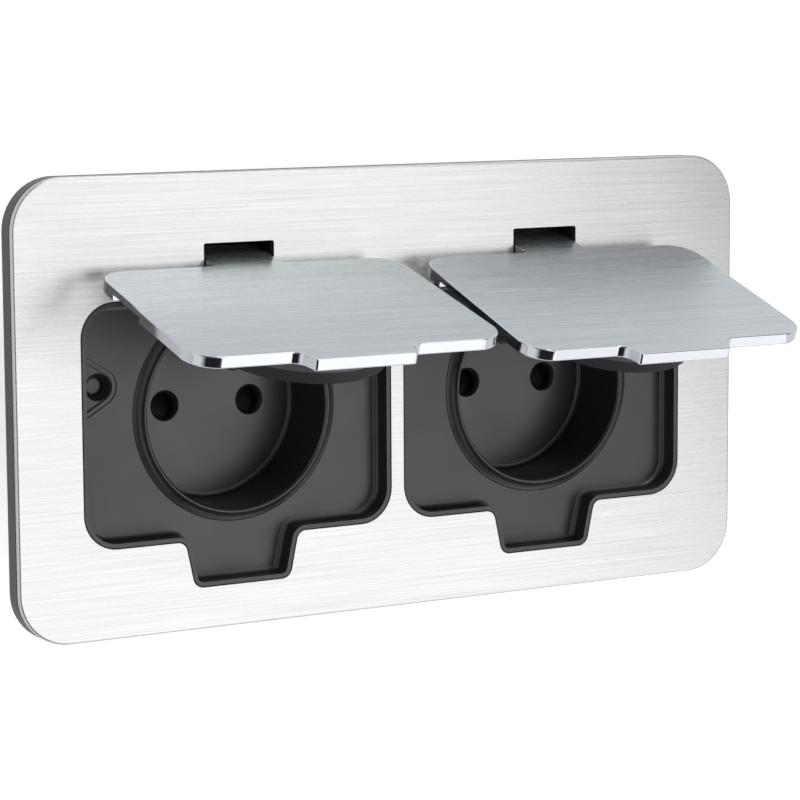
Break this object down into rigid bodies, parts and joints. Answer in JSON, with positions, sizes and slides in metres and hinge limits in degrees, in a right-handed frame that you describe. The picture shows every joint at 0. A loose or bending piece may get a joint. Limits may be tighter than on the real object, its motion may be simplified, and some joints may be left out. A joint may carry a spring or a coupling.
{
  "type": "floor socket box",
  "caption": "Flush floor socket box: brushed metal plate with hinged friction-held lids over recessed earthed sockets, black moulded frame and a floor box with cable entries.",
  "frame": {"origin": "middle of the plate outline, at floor level on the underside of the flange", "axes": "+X along the plate, +Y towards the lid hinges, +Z out of the floor"},
  "size_m": [0.166, 0.0896, 0.0918],
  "materials": {
    "brushed_plate": "straight brushed stainless steel, grain along the plate",
    "brushed_lid": "brushed face, polished edges",
    "bonding_film": "black double-sided film",
    "moulded_black": "satin black moulded plastic",
    "moulded_insert": "satin black moulded plastic",
    "black_rubber": "matt",
    "seal_rubber": "matt",
    "carrier_plastic": "satin",
    "box_grey": "fine moulded texture",
    "cover_plastic": "natural glass-filled plastic",
    "shutter_plastic": "smooth",
    "sleeve_plastic": "natural acetal",
    "nickel_pin": "nickel plated",
    "brass_strip": "stamped brass",
    "spring_steel": "plain strip",
    "pin_steel": "ground",
    "plated_screw": "zinc plated",
    "zinc_screw": "zinc plated",
    "grey_screw": "grey coated, domed head"
  },
  "bodies": {
    "frame": {"cover_plate": "brushed_plate", "bonding_sheet": "bonding_film", "base_frame": "moulded_black", "flange_gasket": "black_rubber", "back_box": "box_grey", "terminal_screws": "plated_screw", "cover_screws": "zinc_screw", "insert_screws": "zinc_screw", "frame_screws": "grey_screw", "pin_keepers": "moulded_black", "socket_cup_left": "moulded_insert", "earth_pin_left": "nickel_pin", "earth_strap_left": "brass_strip", "live_contact_left": "brass_strip", "neutral_contact_left": "brass_strip", "shutter_spring_left": "spring_steel", "contact_cover_left": "cover_plastic", "cable_grommet_left": "black_rubber", "hinge_pin_left": "pin_steel", "socket_cup_right": "moulded_insert", "earth_pin_right": "nickel_pin", "earth_strap_right": "brass_strip", "live_contact_right": "brass_strip", "neutral_contact_right": "brass_strip", "shutter_spring_right": "spring_steel", "contact_cover_right": "cover_plastic", "cable_grommet_right": "black_rubber", "hinge_pin_right": "pin_steel"},
    "lid_left": {"lid_left": "brushed_lid", "seal_carrier_left": "carrier_plastic", "seal_ring_left": "seal_rubber", "friction_sleeve_left": "sleeve_plastic"},
    "shutter_left": {"shutter_left": "shutter_plastic"},
    "lid_right": {"lid_right": "brushed_lid", "seal_carrier_right": "carrier_plastic", "seal_ring_right": "seal_rubber", "friction_sleeve_right": "sleeve_plastic"},
    "shutter_right": {"shutter_right": "shutter_plastic"}
  },
  "joints": [
    {"name": "lid_left_hinge", "type": "hinge", "parent": "frame", "child": "lid_left", "pos_m": [-0.03543, 0.02529, 0.00152], "axis": [-1, 0, 0], "range_deg": [-73.93, 34.07]},
    {"name": "lid_right_hinge", "type": "hinge", "parent": "frame", "child": "lid_right", "pos_m": [0.03543, 0.02529, 0.00152], "axis": [-1, 0, 0], "range_deg": [-70.22, 37.78]},
    {"name": "shutter_left_slide", "type": "slide", "parent": "frame", "child": "shutter_left", "axis": [0, -1, 0], "range_m": [0, 0.006], "stiffness_N_per_m": 200, "springref_m": -0.004, "deforming": ["shutter_spring_left"]},
    {"name": "shutter_right_slide", "type": "slide", "parent": "frame", "child": "shutter_right", "axis": [0, -1, 0], "range_m": [0, 0.006], "stiffness_N_per_m": 200, "springref_m": -0.004, "deforming": ["shutter_spring_right"]}
  ]
}
